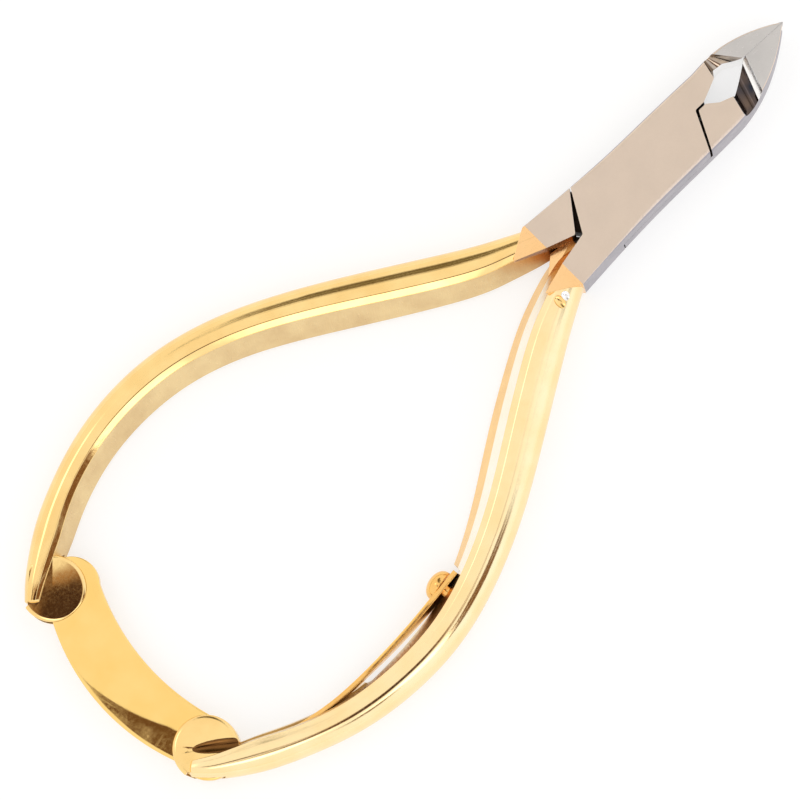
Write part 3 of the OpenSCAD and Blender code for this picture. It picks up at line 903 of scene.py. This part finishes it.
# What polished metal sees of the tent, as cones of directions: the middle, the angles at which a cone
# starts and ends to fade, how ragged its rim is, the scale of that, and its light. Later ones lie on top.
TENT_LIGHT = (1.06, 1.02, 0.96, 1)
WINDOW = (2.2, 2.15, 2.1, 1)
OPENING = (0.16, 0.13, 0.07, 1)
CARD = (0.22, 0.11, 0.05, 1)
TENT = [
    ((0.45, -0.75, 0.5), 15, 70, 0.0, 3.0, (1.10, 1.18, 1.30, 1)),      # the tent's cool side
    ((0.05, -0.62, 0.78), 7, 15, 0.0, 3.0, WINDOW),
    ((-0.19, 0.52, 0.83), 4, 9, 0.0, 3.0, WINDOW),
    ((-0.36, -0.35, 0.87), 5, 11, 0.0, 3.0, WINDOW),
    ((0.25, 0.35, 0.90), 3, 7, 0.12, 22.0, OPENING),
    ((0.33, 0.48, 0.81), 8, 13, 0.12, 22.0, OPENING),
    ((0.41, 0.61, 0.67), 9, 14, 0.12, 22.0, OPENING),
    (VIEW, 8, 14, 0.12, 9.0, (0.40, 0.22, 0.10, 1)),                    # rim of the camera's hole
    (VIEW, 6, 10, 0.06, 12.0, (0.06, 0.03, 0.02, 1)),                   # the hole itself
    ((-0.19, 0.10, 0.977), 4, 6.5, 0.04, 45.0, (0.16, 0.09, 0.05, 1)),
    ((0.33, -0.69, 0.64), 8, 11, 0.06, 25.0, CARD),
    ((0.27, -0.52, 0.81), 6, 9, 0.06, 25.0, CARD),
    ((-0.17, -0.72, 0.67), 4, 8, 0.06, 25.0, CARD),
]


def facing(n, direction, centre, inner, outer, ragged, scale):
    """1 where a direction lies within a cone, falling to 0 from the inner to the outer angle."""
    c = Vector(centre).normalized()
    dot = n.add("VectorMath", {0: direction, 1: c}, operation="DOT_PRODUCT").outputs["Value"]
    angle = n.add("Math", {0: dot}, operation="ARCCOSINE").outputs[0]
    if ragged:
        wander = n.to_range(n.noise(direction, scale, 4.0, 0.6), -ragged, ragged, 0.3, 0.7)
        angle = n.add("Math", {0: angle, 1: wander}, operation="ADD").outputs[0]
    return n.to_range(angle, 1.0, 0.0, math.radians(inner), math.radians(outer))


def studio():
    """Pale floor under a white tent, whose openings, camera hole and dark cards are what polished metal
    shows as dark streaks, and its windows as bright ones."""
    material, _, shader = new_material("pale_floor")
    shader.inputs["Base Color"].default_value = (0.4, 0.4, 0.4, 1)
    shader.inputs["Roughness"].default_value = 0.8
    shader.inputs["Emission Color"].default_value = (1, 1, 1, 1)
    shader.inputs["Emission Strength"].default_value = 0.64
    floor = new_mesh("floor", [(-3, -3, 0), (3, -3, 0), (3, 3, 0), (-3, 3, 0)], [(0, 1, 2, 3)], material)
    world = bpy.data.worlds.new("studio")
    bpy.context.scene.world = world
    world.use_nodes = True
    n = Nodes(world.node_tree)
    direction = n.add("TexCoord").outputs["Generated"]
    light = TENT_LIGHT
    for centre, inner, outer, ragged, scale, cone_light in TENT:
        cone = facing(n, direction, centre, inner, outer, ragged, scale)
        light = n.mix(cone, light, cone_light)
    seen = n.add("LightPath").outputs["Is Camera Ray"]
    light = n.mix(seen, light, (0.93, 0.93, 0.93, 1))
    background = world.node_tree.nodes["Background"]
    world.node_tree.links.new(light, background.inputs["Color"])
    background.inputs["Strength"].default_value = 1.0


def camera():
    """Straight-on camera that looks at the middle of the picture, a little from the right side."""
    aim = PIVOT + Vector((*VIEW_AIM, 0)) * MM
    back = Vector(VIEW).normalized()
    up = Vector(VIEW_UP)
    up = (up - back * up.dot(back)).normalized()
    right = up.cross(back)
    data = bpy.data.cameras.new("camera")
    data.sensor_width = SENSOR
    data.lens = SENSOR * VIEW_DISTANCE / VIEW_WIDTH
    obj = bpy.data.objects.new("camera", data)
    bpy.context.scene.collection.objects.link(obj)
    rotation = Matrix((right, up, back)).transposed().to_4x4()
    obj.matrix_world = Matrix.Translation(aim + back * VIEW_DISTANCE) @ rotation
    bpy.context.scene.camera = obj


studio()
camera()
bpy.context.scene.view_settings.view_transform = "Standard"
